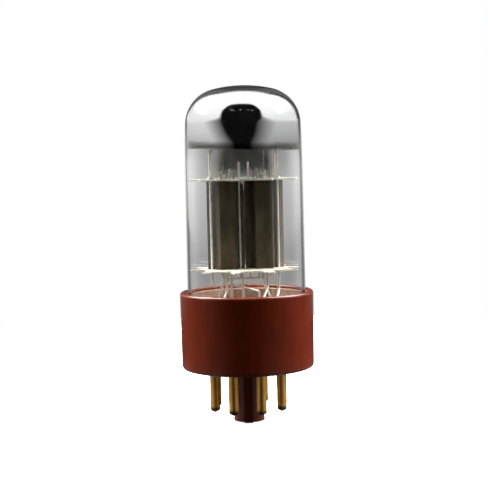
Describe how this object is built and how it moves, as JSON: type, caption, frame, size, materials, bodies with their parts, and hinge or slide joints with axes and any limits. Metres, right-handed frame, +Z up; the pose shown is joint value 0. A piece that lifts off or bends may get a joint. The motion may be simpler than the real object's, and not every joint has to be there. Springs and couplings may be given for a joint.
{
  "type": "vacuum tube",
  "caption": "Glass twin-triode valve with a straight domed bulb, silver getter dome, phenolic octal base, tubular contact pins and a ridged locating key.",
  "frame": {"origin": "centre of the base's underside, where it seats on the socket, on the tube's axis", "axes": "+Z up the tube's axis to the dome; -Y to the ridge of the locating key, which is also the printed front of the tube; +X to the right of it"},
  "size_m": [0.0324, 0.0324, 0.0812],
  "materials": {
    "phenolic": "moulded, semi-gloss, dark red-brown",
    "cement": "dull thermosetting basing cement",
    "gold_plate": "gold-plated tube, drawn",
    "solder": "dark solder, slightly dulled",
    "glass": "clear blown glass",
    "getter_silver": "silver getter film on the glass",
    "blackened_nickel": "carbonised nickel sheet, satin",
    "nickel": "bright drawn nickel",
    "copper": "copper grid rods",
    "mica": "split mica sheet, cream",
    "alumina": "white alumina coat"
  },
  "bodies": {
    "root": {"base_shell": "phenolic", "basing_cement": "cement", "pin_1": "gold_plate", "pin_2": "gold_plate", "pin_3": "gold_plate", "pin_4": "gold_plate", "pin_5": "gold_plate", "pin_6": "gold_plate", "pin_7": "gold_plate", "pin_8": "gold_plate", "pin_solder": "solder", "glass_bulb": "glass", "getter_mirror": "getter_silver", "glass_stem": "glass", "exhaust_tip": "glass", "outer_leads": "copper", "inner_leads": "nickel", "mica_top": "mica", "mica_bottom": "mica", "anode_a_front": "blackened_nickel", "anode_a_back": "blackened_nickel", "anode_b_front": "blackened_nickel", "anode_b_back": "blackened_nickel", "rod_a_outer": "nickel", "rod_a_inner": "nickel", "rod_b_outer": "nickel", "rod_b_inner": "nickel", "grid_a_rods": "copper", "grid_a_winding": "nickel", "grid_b_rods": "copper", "grid_b_winding": "nickel", "cathode_a": "nickel", "cathode_b": "nickel", "heater_a": "alumina", "heater_b": "alumina", "heater_jumpers": "nickel", "rod_locks": "nickel", "mica_clip": "nickel", "getter_ring": "nickel", "getter_stays": "nickel", "getter_strap": "nickel", "getter_wire": "nickel"}
  },
  "joints": []
}
